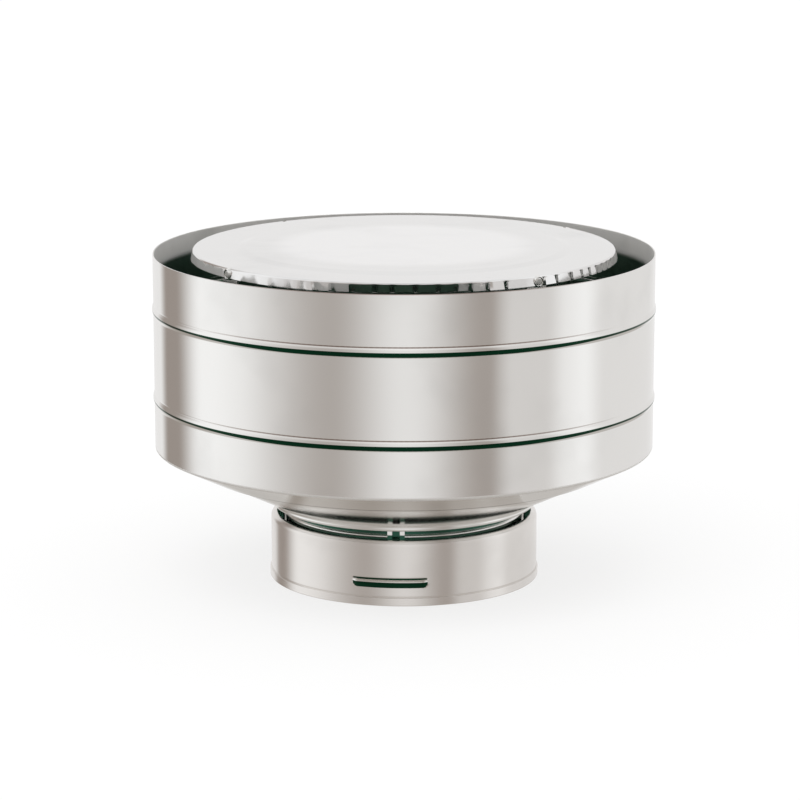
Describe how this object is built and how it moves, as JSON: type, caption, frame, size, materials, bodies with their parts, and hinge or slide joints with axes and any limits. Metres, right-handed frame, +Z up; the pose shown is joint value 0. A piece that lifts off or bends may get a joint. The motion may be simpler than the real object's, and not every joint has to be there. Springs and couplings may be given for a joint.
{
  "type": "vertical termination cap",
  "caption": "Round polished sheet-metal vent cap: beaded drum open at the top, flat rain disc just above its rim, conical floor and a short pipe collar below an air gap.",
  "frame": {"origin": "on the vent's axis, at the foot of the collar that the cap stands on", "axes": "+Z up along the vent's axis, -Y towards the front of the picture, +X to its right"},
  "size_m": [0.214, 0.214, 0.1427],
  "materials": {
    "drum_steel": "bright rolled sheet, polished, faint vertical rolling streaks",
    "pan_steel": "bright rolled sheet",
    "collar_steel": "bright rolled sheet, polished",
    "sleeve_steel": "bright rolled sheet, a little duller",
    "disc_steel": "bright rolled sheet, crimped flange",
    "strap_steel": "cut strip, satin",
    "rivet_steel": "plain rivet, satin"
  },
  "bodies": {
    "root": {"wind_band": "drum_steel", "base_pan": "pan_steel", "outer_collar": "collar_steel", "flue_sleeve": "sleeve_steel", "rain_disc": "disc_steel", "flange_rivets": "rivet_steel", "disc_leg_1": "strap_steel", "disc_leg_2": "strap_steel", "disc_leg_3": "strap_steel", "disc_leg_4": "strap_steel", "spacer_1": "strap_steel", "spacer_2": "strap_steel", "spacer_3": "strap_steel", "spacer_4": "strap_steel"}
  },
  "joints": []
}
